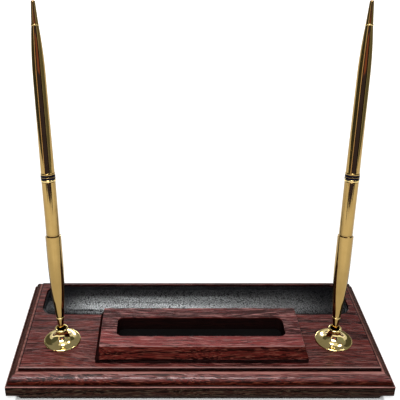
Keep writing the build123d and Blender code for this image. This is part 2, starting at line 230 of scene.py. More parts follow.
class Nodes:
    """Adds nodes to a node tree and wires them up."""

    def __init__(self, tree):
        self.tree = tree

    def add(self, kind, **settings):
        node = self.tree.nodes.new(kind)
        for key, value in settings.items():
            setattr(node, key, value)
        return node

    def link(self, source, target):
        self.tree.links.new(source, target)

    def put(self, node, key, value):
        """Sets an input to a number, or links it to an output."""
        if isinstance(value, bpy.types.NodeSocket):
            self.link(value, node.inputs[key])
        else:
            node.inputs[key].default_value = value

    def place(self, scale=(1, 1, 1), kind="Object"):
        """Coordinates, scaled along each axis."""
        return self.stretch(self.add("ShaderNodeTexCoord").outputs[kind], scale)

    def stretch(self, vector, scale):
        mapping = self.add("ShaderNodeMapping")
        mapping.inputs["Scale"].default_value = scale
        self.link(vector, mapping.inputs["Vector"])
        return mapping.outputs["Vector"]

    def axis(self, letter, kind="Object"):
        """One coordinate of the surface."""
        split = self.add("ShaderNodeSeparateXYZ")
        self.link(self.add("ShaderNodeTexCoord").outputs[kind], split.inputs["Vector"])
        return split.outputs[letter]

    def noise(self, vector, scale=1.0, detail=3.0, roughness=0.5, distortion=0.0):
        node = self.add("ShaderNodeTexNoise")
        self.link(vector, node.inputs["Vector"])
        for key, value in (
            ("Scale", scale), ("Detail", detail), ("Roughness", roughness), ("Distortion", distortion),
        ):
            node.inputs[key].default_value = value
        return node.outputs["Fac"]

    def cells(self, vector, scale, feature):
        node = self.add("ShaderNodeTexVoronoi", feature=feature)
        self.link(vector, node.inputs["Vector"])
        node.inputs["Scale"].default_value = scale
        return node.outputs["Distance"]

    def ramp(self, value, low, high, to_low=0.0, to_high=1.0):
        """A smooth change from to_low to to_high while the value goes from low to high."""
        node = self.add("ShaderNodeMapRange", interpolation_type="SMOOTHSTEP")
        for key, number in (
            ("Value", value), ("From Min", low), ("From Max", high),
            ("To Min", to_low), ("To Max", to_high),
        ):
            self.put(node, key, number)
        return node.outputs["Result"]

    def ramp_mm(self, place, low, high, to_low=0.0, to_high=1.0):
        """A ramp over a place, with its ends in millimetres."""
        return self.ramp(place, low * MM, high * MM, to_low, to_high)

    def band_mm(self, place, low, high, soft):
        """1 between two places, in millimetres, with soft edges."""
        return self.times(
            self.ramp_mm(place, low - soft, low + soft),
            self.ramp_mm(place, high - soft, high + soft, 1.0, 0.0),
        )

    def math(self, operation, a, b=0.0, c=0.0):
        node = self.add("ShaderNodeMath", operation=operation)
        for key, value in enumerate((a, b, c)):
            self.put(node, key, value)
        return node.outputs["Value"]

    def times(self, first, *others):
        """The product of all the values."""
        product = first
        for other in others:
            product = self.math("MULTIPLY", product, other)
        return product

    def distance(self, a, b):
        """Length of the line with the two legs a and b."""
        squares = [self.math("POWER", leg, 2.0) for leg in (a, b)]
        return self.math("SQRT", self.math("ADD", *squares))

    def past_mm(self, place, half):
        """How far a place is past half a width, in millimetres, on either side of the middle."""
        return self.math("SUBTRACT", self.math("ABSOLUTE", place), half * MM)

    def mix(self, factor, a, b, blend="MIX"):
        node = self.add("ShaderNodeMix", data_type="RGBA", blend_type=blend)
        self.put(node, "Factor", factor)
        for key, value in (("A", a), ("B", b)):
            socket = [s for s in node.inputs if s.name == key and s.type == "RGBA"][0]
            if isinstance(value, bpy.types.NodeSocket):
                self.link(value, socket)
            else:
                socket.default_value = (*value, 1.0)
        return [s for s in node.outputs if s.type == "RGBA"][0]

    def bump(self, height, distance, strength=1.0):
        node = self.add("ShaderNodeBump")
        node.inputs["Distance"].default_value = distance
        node.inputs["Strength"].default_value = strength
        self.link(height, node.inputs["Height"])
        return node.outputs["Normal"]


class Look(Nodes):
    """A node material under construction."""

    def __init__(self, name):
        self.material = bpy.data.materials.new(name)
        self.material.use_nodes = True
        super().__init__(self.material.node_tree)
        self.shader = self.tree.nodes["Principled BSDF"]

    def finish(self, **inputs):
        for key, value in inputs.items():
            self.put(self.shader, key.replace("_", " "), value)
        return self.material

    def show(self, shader):
        """Puts another shader in the place of the usual one."""
        self.tree.nodes.remove(self.shader)
        self.link(shader.outputs[0], self.tree.nodes["Material Output"].inputs["Surface"])
        return self.material


# Wood

# Tones from the dark stain to the pale ridges of the grain
BOARD_TONES = ((0.034, 0.008, 0.007), (0.104, 0.019, 0.016), (0.162, 0.038, 0.033), (0.245, 0.098, 0.084))
BLOCK_TONES = ((0.056, 0.012, 0.011), (0.172, 0.033, 0.031), (0.270, 0.072, 0.066), (0.350, 0.148, 0.135))

# Colours that multiply the tones: painted shade on the plinth and foot line, the step, the upright band, the
# block's slopes, the round edge's foot and the right side; plain darker bands low on the round edge, under
# the ledge and behind the tray
BLACK_SHADE, STEP_SHADE = (0.03, 0.05, 0.05), (0.17, 0.12, 0.10)
BAND_SHADE, LOWER_ROUND_TINT, SLOPE_SHADE = (0.29, 0.50, 0.36), (0.60, 0.36, 0.22), (0.36, 0.21, 0.14)
FOOT_SHADE, UNDER_LEDGE_TINT = (0.62, 0.55, 0.50), (0.45, 0.26, 0.24)
RIGHT_SHADE, BACK_TINT = (0.48, 0.44, 0.46), (0.50, 0.40, 0.38)

# Colours that cover the tones: the end grain's own brown, painted shade in the slot and on the block's left
# bevel, and painted highlights along the edges
END_BROWN, WELL_SHADE, LEFT_BEVEL_SHADE = (0.030, 0.012, 0.007), (0.006, 0.003, 0.003), (0.008, 0.003, 0.003)
LIP_HIGHLIGHT, ROUND_HIGHLIGHT, BAND_HIGHLIGHT = (0.420, 0.250, 0.230), (0.350, 0.150, 0.128), (0.360, 0.170, 0.150)
LOW_HIGHLIGHT, BLOCK_HIGHLIGHT = (0.120, 0.070, 0.060), (0.300, 0.180, 0.160)

# The growth rings: how far they sway and ripple, in metres, and how close they lie
RING_SWAY, RING_RIPPLE, RINGS_PER_METRE = 0.040, 0.0016, 270.0

# How often the grain changes along, across and through the wood, per metre
FIBRE_GRAIN, PATCH_GRAIN, STREAKY_GRAIN = (22, 700, 900), (12, 60, 90), (40, 500, 500)
PORE_GRAIN, RIDGE_GRAIN = (95, 2200, 2200), (80, 2100, 2400)


class WoodLook(Look):
    """Open-grained wood under a dark red stain, with the grain along X.

    The pith is the middle of the growth rings, as a place across the grain and a height. It and all other
    places are in millimetres. The steps after the first change the colour and the gloss one over another.
    """

    def __init__(self, name, pith, tones):
        super().__init__(name)
        self.x, self.y, self.z = (self.axis(letter) for letter in "XYZ")
        self.grow_rings(pith)
        self.lay_grain(tones)
        # Streaks along the grain that break up the painted edge highlights
        self.streaky = self.ramp(self.streaks(STREAKY_GRAIN, 3.0), 0.30, 0.60, 0.35, 1.0)
        # How strongly edges take their painted highlights: fully at the front, which faces the key lamp,
        # little towards the back
        self.lit_side = self.ramp_mm(self.y, -36.0, -24.0, 1.0, 0.15)

    def grow_rings(self, pith):
        """Rings about the pith, and coordinates that follow them."""
        sway = self.noise(self.place((7, 9, 9)), detail=2.0)
        ripple = self.noise(self.place((30, 150, 150)), detail=2.0)
        across = self.math("MULTIPLY_ADD", sway, RING_SWAY, self.y)
        across = self.math("SUBTRACT", across, pith[0] * MM)
        deep = self.math("SUBTRACT", self.z, pith[1] * MM)
        radius = self.math("MULTIPLY_ADD", ripple, RING_RIPPLE, self.distance(across, deep))
        ring = self.math("FRACT", self.times(radius, RINGS_PER_METRE))
        self.early = self.times(self.ramp(ring, 0.0, 0.12), self.ramp(ring, 0.12, 0.6, 1.0, 0.0))
        self.along = self.add("ShaderNodeCombineXYZ")
        for key, value in (("X", self.x), ("Y", across), ("Z", radius)):
            self.link(value, self.along.inputs[key])

    def streaks(self, scale, detail, roughness=0.55):
        """Noise drawn out along the grain."""
        vector = self.stretch(self.along.outputs["Vector"], scale)
        return self.noise(vector, detail=detail, roughness=roughness)

    def lay_grain(self, tones):
        """Fibres, pale ridges and open pores, with the lacquer's roughness and gloss over them."""
        dark, mid, light, ridge = tones
        fibre = self.streaks(FIBRE_GRAIN, 4.0, 0.65)
        patch = self.streaks(PATCH_GRAIN, 3.0)
        pore = self.math("MULTIPLY_ADD", self.early, 0.11, self.streaks(PORE_GRAIN, 2.0))
        pore = self.ramp(self.math("MULTIPLY_ADD", patch, 0.05, pore), 0.57, 0.63)
        crest = self.math("MULTIPLY_ADD", self.early, 0.05, self.streaks(RIDGE_GRAIN, 2.0))
        crest = self.ramp(crest, 0.54, 0.63)
        tone = self.math("MULTIPLY_ADD", self.early, -0.28, self.times(fibre, 0.8))
        tone = self.math("MULTIPLY_ADD", patch, 0.55, tone)
        self.body = self.mix(self.ramp(tone, 0.30, 0.66), dark, mid)
        self.tint(self.ramp(tone, 0.60, 0.95), light)
        self.tint(self.times(crest, 0.90), ridge)
        self.tint(self.times(pore, 0.90), tuple(0.3 * v for v in dark))
        # Painted shade: darker towards the right, away from the light at the left
        self.tint(self.ramp_mm(self.x, 20.0, 100.0, 0.0, 0.45), RIGHT_SHADE, "MULTIPLY")
        # Darker from the tray's back edge to the back
        self.tint(self.ramp_mm(self.y, 41.2, 42.4), BACK_TINT, "MULTIPLY")
        shine = self.math("MULTIPLY_ADD", fibre, 0.14, 0.17)
        self.shine = self.math("MULTIPLY_ADD", pore, 0.20, shine)
        self.gloss = self.math("MULTIPLY_ADD", pore, -0.11, 0.16)
        self.height = self.math("MULTIPLY_ADD", pore, -1.0, self.times(fibre, 0.25))

    def tint(self, factor, colour, blend="MIX"):
        self.body = self.mix(factor, self.body, colour, blend)

    def dull(self, factor, least=0.0):
        """Takes gloss away where the factor is high, down to a least share."""
        if least:
            self.gloss = self.times(self.gloss, self.ramp(factor, 0.0, 1.0, 1.0, least))
        else:
            self.gloss = self.times(self.gloss, self.math("SUBTRACT", 1.0, factor))

    def polish(self, low, high, soft, level):
        """More lacquer over a range of height."""
        self.gloss = self.math("MULTIPLY_ADD", self.band_mm(self.z, low, high, soft), level, self.gloss)

    def stain(self, low, high, soft, colour, weight=1.0):
        """A darker colour and less gloss over a range of height, mostly as painted shade."""
        zone = self.band_mm(self.z, low, high, soft)
        self.tint(self.times(zone, weight), colour, "MULTIPLY")
        self.dull(zone, 1.0 - 0.8 * weight)

    def edge_highlight(self, low, high, soft, colour, weight):
        """A pale line painted along an edge as its highlight, over a range of height."""
        zone = self.band_mm(self.z, low, high, soft)
        self.tint(self.times(zone, self.times(self.streaky, self.lit_side), weight), colour)

    def stain_rim_and_paint_light(self, half):
        """End grain past the flat top drinks more stain, with a mitre at the corners; painted shade darkens
        the top's outer edge and a painted highlight runs just inside it.
        """
        past_x, past_y = (self.past_mm(*pair) for pair in zip((self.x, self.y), half))
        self.past = self.math("MAXIMUM", past_x, past_y)
        end = self.ramp_mm(self.math("SUBTRACT", past_x, self.math("MAXIMUM", past_y, 0.0)), -0.1, 0.3)
        self.tint(self.times(end, 0.72), END_BROWN)
        self.dull(end, 0.08)
        top = self.ramp_mm(self.z, BOARD_TOP - 0.4, BOARD_TOP - 0.2)
        # Painted shade: the top's outer edge darkened where it turns down to the step
        self.tint(self.times(self.ramp_mm(self.past, -0.8, -0.6), top), STEP_SHADE, "MULTIPLY")
        # Painted highlight: a pale line on the top just inside its front and back edges
        lip = self.times(
            self.ramp_mm(past_y, -1.9, -1.6), self.ramp_mm(past_y, -0.9, -0.7, 1.0, 0.0),
            self.ramp_mm(self.z, BOARD_TOP - 0.12, BOARD_TOP - 0.04),
        )
        self.tint(self.times(lip, self.lit_side, 0.55), LIP_HIGHLIGHT)
        # Painted highlights on the end mouldings too, stronger at the left end than at the right
        sheen_area = self.times(end, self.ramp_mm(self.x, -50.0, 100.0, 0.75, 0.35))
        self.lit_side = self.math("MAXIMUM", self.lit_side, sheen_area)

    def shade_foot(self):
        """Painted shade: a black line on the ledge, at the foot of the round edge."""
        low = self.ramp_mm(self.z, BAND_TOP + 0.2, BAND_TOP + 0.5, 1.0, 0.0)
        foot = self.times(self.ramp_mm(self.past, 6.4, 6.7, 1.0, 0.0), low)
        self.tint(self.times(foot, 0.9), BLACK_SHADE, "MULTIPLY")

    def blacken_well(self, middle, half, brim):
        """Painted shade: black walls inside a slot."""
        inside = self.ramp_mm(self.z, brim - 1.4, brim, 1.0, 0.0)
        for place, centre, reach in zip((self.x, self.y), middle, half):
            off = self.math("ABSOLUTE", self.math("SUBTRACT", place, centre * MM))
            inside = self.times(inside, self.ramp_mm(off, reach, reach + 0.2, 1.0, 0.0))
        self.tint(self.times(inside, 0.94), WELL_SHADE)
        self.dull(inside)

    def blacken_left_of(self, edge):
        """Painted shade: a black bevel at the left end."""
        bevel = self.ramp_mm(self.x, edge - 0.4, edge, 1.0, 0.0)
        self.tint(self.times(bevel, 0.88), LEFT_BEVEL_SHADE)
        self.dull(bevel)

    def done(self):
        return self.finish(
            Base_Color=self.body, Roughness=self.shine, IOR=1.5, Specular_IOR_Level=self.gloss,
            Normal=self.bump(self.height, 0.00007),
        )


def board_look(name):
    """The base board, with its band, ledge, round edge and step."""
    look = WoodLook(name, pith=(-12.0, -55.0), tones=BOARD_TONES)
    look.polish(BAND_TOP + 1.9, ROUND_TOP - 0.3, soft=0.30, level=0.20)
    look.stain_rim_and_paint_light(FLAT_HALF)
    # Darker and redder towards the foot of the round edge
    look.stain(BAND_TOP - 0.1, BAND_TOP + 2.6, soft=0.60, colour=LOWER_ROUND_TINT)
    # Painted shade at the foot of the round edge, in the corner with the ledge
    look.stain(BAND_TOP - 0.1, BAND_TOP + 1.4, soft=0.50, colour=FOOT_SHADE)
    # Painted shade: a dark line on the upright step between the round edge and the top
    look.stain(ROUND_TOP - 0.02, BOARD_TOP - 0.08, soft=0.03, colour=STEP_SHADE)
    # Painted shade on the upright band, which faces away from the light above; it also turns the band browner
    look.stain(0.0, BAND_TOP - 0.4, soft=0.10, colour=BAND_SHADE)
    # A darker line along the top of the band, just under the ledge's edge
    look.stain(BAND_TOP - 1.1, BAND_TOP - 0.4, soft=0.08, colour=UNDER_LEDGE_TINT)
    # Painted highlights: pale lines along the top of the round edge, the ledge's edge and the band's foot
    look.edge_highlight(ROUND_TOP - 0.3, ROUND_TOP - 0.02, soft=0.04, colour=ROUND_HIGHLIGHT, weight=0.85)
    look.edge_highlight(BAND_TOP - 0.38, BAND_TOP + 0.06, soft=0.06, colour=BAND_HIGHLIGHT, weight=0.85)
    look.edge_highlight(PAD_TOP, PAD_TOP + 0.4, soft=0.10, colour=LOW_HIGHLIGHT, weight=0.60)
    look.shade_foot()
    return look.done()


def block_look(name):
    """The raised block, with painted shade that makes its bevel dark and its plinth, its slot and its left
    bevel black, and a painted highlight along its top edge.
    """
    look = WoodLook(name, pith=(7.0, -40.0), tones=BLOCK_TONES)
    # Painted shade on the block's sloping sides, which also makes them redder
    look.stain(PLINTH_TOP, BLOCK_TOP - 0.6, soft=0.20, colour=SLOPE_SHADE, weight=0.95)
    # Painted shade: the plinth under the block's slopes drawn near black
    look.stain(10.0, PLINTH_TOP - 0.03, soft=0.08, colour=BLACK_SHADE, weight=0.97)
    # Painted highlight: a pale line along the block's top edge
    look.edge_highlight(BLOCK_TOP - 0.38, BLOCK_TOP - 0.08, soft=0.06, colour=BLOCK_HIGHLIGHT, weight=0.75)
    look.blacken_well(BLOCK_PLACE, WELL_HALF, BLOCK_TOP - 0.3)
    look.blacken_left_of(BLOCK_PLACE[0] - BLOCK_TOP_HALF)
    return look.done()


# Other materials

PEBBLES_PER_METRE = 820.0


def leather_look(name):
    """Black leather with a pebbled grain."""
    look = Look(name)
    place = look.place()
    bend = look.noise(place, 420.0, 3.0)
    warp = look.add("ShaderNodeVectorMath", operation="ADD")
    spread = look.add("ShaderNodeVectorMath", operation="SCALE")
    tint = look.add("ShaderNodeTexNoise")
    look.link(place, tint.inputs["Vector"])
    tint.inputs["Scale"].default_value = 600.0
    look.link(tint.outputs["Color"], spread.inputs[0])
    spread.inputs["Scale"].default_value = 0.0007
    look.link(place, warp.inputs[0])
    look.link(spread.outputs["Vector"], warp.inputs[1])
    pebble = look.cells(warp.outputs["Vector"], PEBBLES_PER_METRE, "SMOOTH_F1")
    crease = look.cells(warp.outputs["Vector"], PEBBLES_PER_METRE, "DISTANCE_TO_EDGE")
    fine = look.noise(place, 5200.0, 2.0)
    worn = look.noise(place, 38.0, 4.0)
    groove = look.ramp(crease, 0.0, 0.20)
    colour = look.mix(groove, (0.002, 0.002, 0.0024), (0.007, 0.007, 0.008))
    colour = look.mix(look.ramp(worn, 0.5, 0.75), colour, (0.011, 0.011, 0.012))
    height = look.math("ADD", look.times(groove, 0.8), look.times(pebble, -0.9))
    height = look.math("MULTIPLY_ADD", fine, 0.12, height)
    height = look.math("MULTIPLY_ADD", bend, 0.35, height)
    shine = look.math("MULTIPLY_ADD", worn, 0.12, 0.30)
    shine = look.math("MULTIPLY_ADD", groove, -0.06, shine)
    normal = look.bump(height, 0.00008)
    # Handling has polished the middle of the tray, not its edges
    x, y = look.axis("X"), look.axis("Y")
    sheen_area = look.times(
        look.ramp_mm(y, 37.5, 40.0, 1.0, 0.05), look.ramp_mm(y, 10.0, 12.2, 0.06, 1.0),
        look.ramp_mm(look.math("ABSOLUTE", x), 62.0, 88.0, 1.0, 0.08),
    )
    return look.finish(
        Base_Color=colour, Roughness=shine, IOR=1.5,
        Specular_IOR_Level=look.times(sheen_area, look.ramp(crease, 0.04, 0.20, 0.05, 1.0)),
        Coat_Weight=look.times(sheen_area, look.ramp(crease, 0.05, 0.22, 0.0, 1.0)),
        Coat_Roughness=0.31, Normal=normal, Coat_Normal=normal,
    )


def felt_look(name, dark, light, sheen, gloss):
    """Short dense felt: matted fibres with a faint fuzz, and painted shade near the table."""
    look = Look(name)
    place = look.place()
    mat = look.noise(place, 900.0, 6.0, 0.7, 1.2)
    cloud = look.noise(place, 60.0, 3.0)
    fibre = look.noise(look.place((2600, 800, 2600)), 1.0, 3.0, 0.6, 1.5)
    tone = look.math("MULTIPLY_ADD", cloud, 0.4, look.times(mat, 0.8))
    colour = look.mix(look.ramp(tone, 0.35, 0.85), dark, light)
    # Painted shade: darker towards the table
    table_shade = look.ramp_mm(look.axis("Z"), 0.4, 1.4, 0.85, 0.0)
    colour = look.mix(table_shade, colour, tuple(0.3 * v for v in dark))
    height = look.math("ADD", mat, look.times(fibre, 0.5))
    return look.finish(
        Base_Color=colour, Roughness=look.math("MULTIPLY_ADD", mat, 0.1, 0.88),
        Normal=look.bump(height, 0.0003, 0.8), Sheen_Weight=sheen, Sheen_Roughness=0.5,
        Specular_IOR_Level=gloss,
    )


def metal_look(name, colour, deep, rough, streak, swirl):
    """Polished plated metal, with faint lines along the turned piece and slight unevenness."""
    look = Look(name)
    cloud = look.noise(look.place(), 160.0, 4.0)
    lines = look.noise(look.place((60, 26, 1), "UV"), 1.0, 4.0, 0.6)
    streaky = look.noise(look.place((14, 900, 1), "UV"), 1.0, 3.0)
    tone = look.math("ADD", look.times(cloud, 0.55), look.times(lines, 0.45))
    tint = look.mix(look.ramp(tone, 0.3, 0.7), deep, colour)
    shine = look.math("MULTIPLY_ADD", lines, 0.03, rough - 0.025)
    shine = look.math("MULTIPLY_ADD", streaky, 0.02, shine)
    height = look.math("ADD", look.times(lines, streak), look.times(streaky, swirl))
    return look.finish(Base_Color=tint, Metallic=1.0, Roughness=shine, Normal=look.bump(height, 0.0001))


def enamel_look(name):
    """Blue-black lacquer on the centre rings."""
    look = Look(name)
    place = look.place()
    cloud = look.noise(place, 500.0, 3.0)
    fine = look.noise(place, 4000.0, 2.0)
    colour = look.mix(look.ramp(cloud, 0.3, 0.7), (0.0012, 0.0012, 0.004), (0.004, 0.005, 0.018))
    return look.finish(
        Base_Color=colour, Roughness=look.math("MULTIPLY_ADD", fine, 0.06, 0.12), IOR=1.5,
        Specular_IOR_Level=0.04, Normal=look.bump(fine, 0.000008),
    )


def plain_metal_look(name, colour, deep, rough):
    """Turned or pressed metal of the hidden fastenings."""
    look = Look(name)
    cloud = look.noise(look.place(), 220.0, 4.0)
    cut = look.noise(look.place((500, 500, 4500)), 1.0, 2.0)
    tint = look.mix(look.ramp(cloud, 0.35, 0.7), deep, colour)
    return look.finish(
        Base_Color=tint, Metallic=1.0, Roughness=look.math("MULTIPLY_ADD", cut, 0.18, rough),
        Normal=look.bump(cut, 0.00003),
    )


def plastic_look(name, colour, deep):
    """Moulded black plastic."""
    look = Look(name)
    place = look.place()
    grain = look.noise(place, 3000.0, 3.0)
    cloud = look.noise(place, 200.0, 3.0)
    return look.finish(
        Base_Color=look.mix(cloud, deep, colour), Roughness=look.math("MULTIPLY_ADD", grain, 0.15, 0.38),
        Normal=look.bump(grain, 0.00002),
    )


board_wood = board_look("stained_board")
block_wood = block_look("stained_block")
leather = leather_look("black_leather")
base_felt = felt_look(
    "brown_felt", (0.012, 0.007, 0.005), (0.034, 0.019, 0.013), sheen=0.05, gloss=0.10
)
slot_felt = felt_look(
    "black_felt", (0.0015, 0.0014, 0.0014), (0.005, 0.0042, 0.0042), sheen=0.004, gloss=0.04
)
brass = metal_look(
    "polished_brass", (0.84, 0.68, 0.31), (0.72, 0.56, 0.22), rough=0.05, streak=0.02, swirl=0.02
)
gold = metal_look(
    "pen_gold", (0.352, 0.236, 0.083), (0.306, 0.199, 0.066), rough=0.05, streak=0.08, swirl=0.01
)
bright_gold = metal_look(
    "ring_gold", (0.78, 0.60, 0.27), (0.66, 0.48, 0.19), rough=0.07, streak=0.02, swirl=0.02
)
enamel = enamel_look("black_enamel")
steel = plain_metal_look("zinc_steel", (0.60, 0.60, 0.59), (0.42, 0.42, 0.43), rough=0.28)
hidden_brass = plain_metal_look("plain_brass", (0.72, 0.55, 0.22), (0.55, 0.40, 0.14), rough=0.26)
ink_plastic = plastic_look("black_plastic", (0.020, 0.020, 0.022), (0.009, 0.009, 0.010))


# Pieces that keep the CAD's meshes: the wood and what is hidden


def dress(node, material):
    mesh = nodes[node].data
    mesh.materials.clear()
    mesh.materials.append(material)


dress("base_board", board_wood)
dress("phone_block", block_wood)
for name in ("block_screws", "socket_washers", "socket_nuts"):
    dress(name, steel)
for side in ("left", "right"):
    dress(f"{side}_pen_twist_tube", hidden_brass)
    dress(f"{side}_pen_refill", steel)
    dress(f"{side}_pen_refill_driver", ink_plastic)


# Leather in the tray: one skin with a rolled rim, in millimetres

# The rise from the back of the tray gets steeper up to the crest and level again near the front edge
RISE_CREST, RISE_LEVEL, RISE_STEEP, RISE_POWER = 10.0, 3.0, 0.158, 2.6
RISE_FOOT = 2 * TRAY_HALF[1] - 1
FOLD_HEIGHT, FOLD_X, FOLD_LENGTH, FOLD_FROM_FRONT, FOLD_WIDTH = 0.40, -71.0, 10.0, 7.3, 0.75
LEATHER_LIFT = 0.1
LEATHER_BELOW = 0.9
EDGE_DROP, EDGE_REACH = 0.6, 0.5
LOOSE_FROM, LOOSE_NEAR_EDGE = 5.0, 0.3
LEATHER_INSETS = [
    16.6, 15.5, 14.0, 12.5, 11.0, 9.6, 8.8, 8.3, 7.9, 7.5, 7.1, 6.7,
    6.3, 5.9, 5.4, 4.8, 4.2, 3.6, 3.1, 2.6, 2.2, 1.9, 1.6,
]
# The rim's roll from below, as insets from the tray's wall and drops from the rim's height
RIM_ROLL = [
    (1.0, 1.9), (0.5, 1.5), (LEATHER_OUTER + 0.02, 1.0), (LEATHER_OUTER, 0.5),
    (0.2, 0.2), (0.42, 0.05), (0.7, 0.0), (0.95, 0.08), (1.15, 0.28),
]


def leather_height(x, y, inset):
    """Height of the leather's upper face: a tight cove at the back, a long rise that levels out in front."""
    from_front = TRAY_HALF[1] + y
    run, turn = RISE_FOOT - RISE_CREST, RISE_CREST - RISE_LEVEL
    share = max(RISE_FOOT - max(from_front, RISE_CREST), 0.0) / run
    rise = LEATHER_FLOOR + LEATHER_LIFT + RISE_STEEP * run / RISE_POWER * share ** RISE_POWER
    over = min(max(from_front, RISE_LEVEL), RISE_CREST) - RISE_LEVEL
    rise += 0.5 * RISE_STEEP / turn * (turn ** 2 - over ** 2)
    fold = FOLD_HEIGHT * exp(-(((from_front - FOLD_FROM_FRONT) / FOLD_WIDTH) ** 2))
    fold *= exp(-(((x - FOLD_X) / FOLD_LENGTH) ** 2))
    edge = exp(-max(inset - LEATHER_INNER, 0.0) / EDGE_REACH)
    return rise + (LEATHER_RIM - EDGE_DROP - rise) * edge + fold * (1 - edge)


def leather_ripple(x, y):
    """Slight looseness of the leather."""
    wave = 0.10 * sin(x / 17.0 + 0.6) * sin(y / 6.0 + x / 41.0)
    wave += 0.05 * sin(x / 7.3 + y / 4.1)
    return wave


def make_leather():
    rings = []

    def outline(inset):
        half_x, half_y = (half - inset for half in TRAY_HALF)
        return rounded_ring(half_x, half_y, TRAY_CORNER - inset, along_x=150, along_y=16, corner=12)

    def face(inset, below):
        loose = 1.0 if inset > LOOSE_FROM else LOOSE_NEAR_EDGE
        rings.append([
            (x, y + TRAY_Y, leather_height(x, y, inset) + loose * leather_ripple(x, y) - below)
            for x, y in outline(inset)
        ])

    # Underside, from the middle of the tray outwards, then the rim, then the upper face
    for inset in LEATHER_INSETS:
        face(inset, LEATHER_BELOW)
    for inset, drop in RIM_ROLL:
        rings.append([(x, y + TRAY_Y, LEATHER_RIM - drop) for x, y in outline(inset)])
    for inset in [LEATHER_INNER] + LEATHER_INSETS[::-1]:
        face(inset, 0.0)
    points, faces = ring_stack(rings)
    piece = new_piece("tray_leather", points, faces, "base", ("tray_liner",), sharp=180)
    piece.data.materials.append(leather)


make_leather()


# Felt pieces

EVEN_INSET = 4.0


def make_felt(name, half, corner, place, low, high, soft, material, replaced, wander):
    """A felt pad with softly rounded edges that wander a little."""
    rings = []
    steps = [(0.5 * half[1], 0.0), (EVEN_INSET, 0.0), (soft, 0.0)]
    steps += [(soft * (1 - sin(t)), soft * (1 - cos(t))) for t in (radians(a) for a in (25, 50, 75))]
    edge = [(0.0, soft), (0.0, high - low - soft)]
    upper = [(inset, high - low - rise) for inset, rise in steps[::-1]]
    for inset, rise in steps + edge + upper:
        outline = rounded_ring(half[0] - inset, half[1] - inset, corner - inset, 110, 50, 6)
        ring = []
        for x, y in outline:
            pull = wander * (0.5 + 0.5 * sin(x * 1.9 + y * 2.3) * sin(x * 0.37 - y * 0.61))
            fade = 1 - pull / max(hypot(x, y), 1.0) if inset < EVEN_INSET else 1.0
            ring.append((place[0] + x * fade, place[1] + y * fade, low + rise))
        rings.append(ring)
    points, faces = ring_stack(rings)
    piece = new_piece(name, points, faces, "base", replaced, sharp=60)
    piece.data.materials.append(material)
    return piece


base_pad = make_felt(
    "base_felt", PAD_HALF, PAD_CORNER, place=(0, 0), low=0.0, high=PAD_TOP, soft=0.5, material=base_felt,
    replaced=("felt_pad",), wander=0.12,
)
slot_floor = make_felt(
    "slot_felt", SLOT_PAD_HALF, SLOT_PAD_CORNER, place=BLOCK_PLACE, low=BOARD_TOP, high=SLOT_PAD_TOP,
    soft=0.4, material=slot_felt, replaced=("slot_pad",), wander=0.1,
)


# Brass sockets

BELL_SWEEP, BELL_STEPS = 82.5, 38


def socket_profile():
    """The bell's outline from the cup floor over the lip to the flange and the stud."""
    cup = [(0, CUP_FLOOR), (2.2, CUP_FLOOR), (2.3, CUP_FLOOR + 0.1)]
    lip = arc((MOUTH_RADIUS, RIM_HEIGHT), (RIM_RADIUS, RIM_HEIGHT), (3.35, SOCKET_HEIGHT), 14)
    neck = tangent_arc((WAIST_RADIUS, WAIST_HEIGHT), (0, 1), (RIM_RADIUS, RIM_HEIGHT), 10)[::-1]
    wide, tall = FLANGE_RADIUS - WAIST_RADIUS, WAIST_HEIGHT - FLANGE_EDGE
    turns = [radians(BELL_SWEEP * k / BELL_STEPS) for k in range(1, BELL_STEPS + 1)]
    bell = [(FLANGE_RADIUS - wide * cos(t), WAIST_HEIGHT - tall * sin(t)) for t in turns]
    flange = arc((10.3, 0.84), (FLANGE_RADIUS, 0.22), (10.9, 0.62), 12)
    flange += [(FLANGE_RADIUS, 0.12), (FLANGE_RADIUS - 0.1, 0.0)]
    stud = [(STUD_RADIUS, 0.0), (STUD_RADIUS, 0.2 - STUD_LENGTH), (STUD_RADIUS - 0.2, -STUD_LENGTH)]
    return cup + lip + neck[1:] + bell + flange + stud + [(0, -STUD_LENGTH)]


for side, sign in (("left", -1), ("right", 1)):
    socket = lathe(
        f"{side}_socket_bell", socket_profile()[::-1], (sign * SOCKET_X, BLOCK_PLACE[1], BOARD_TOP),
        (0, 0, 1), "base", (f"{side}_socket",), around=144,
    )
    socket.data.materials.append(brass)


# Pens

BEAD_TURNS = (0, 0.4, 0.8, 1.2, pi / 2)


def bead(radius, inner, start, length, soft):
    """Outline of a ring with rounded edges."""
    end = start + length
    low = [(radius - soft * (1 - sin(t)), start + soft * (1 - cos(t))) for t in BEAD_TURNS]
    high = [(radius - soft * (1 - cos(t)), end - soft * (1 - sin(t))) for t in BEAD_TURNS]
    return [(inner, start)] + low + high + [(inner, end)]


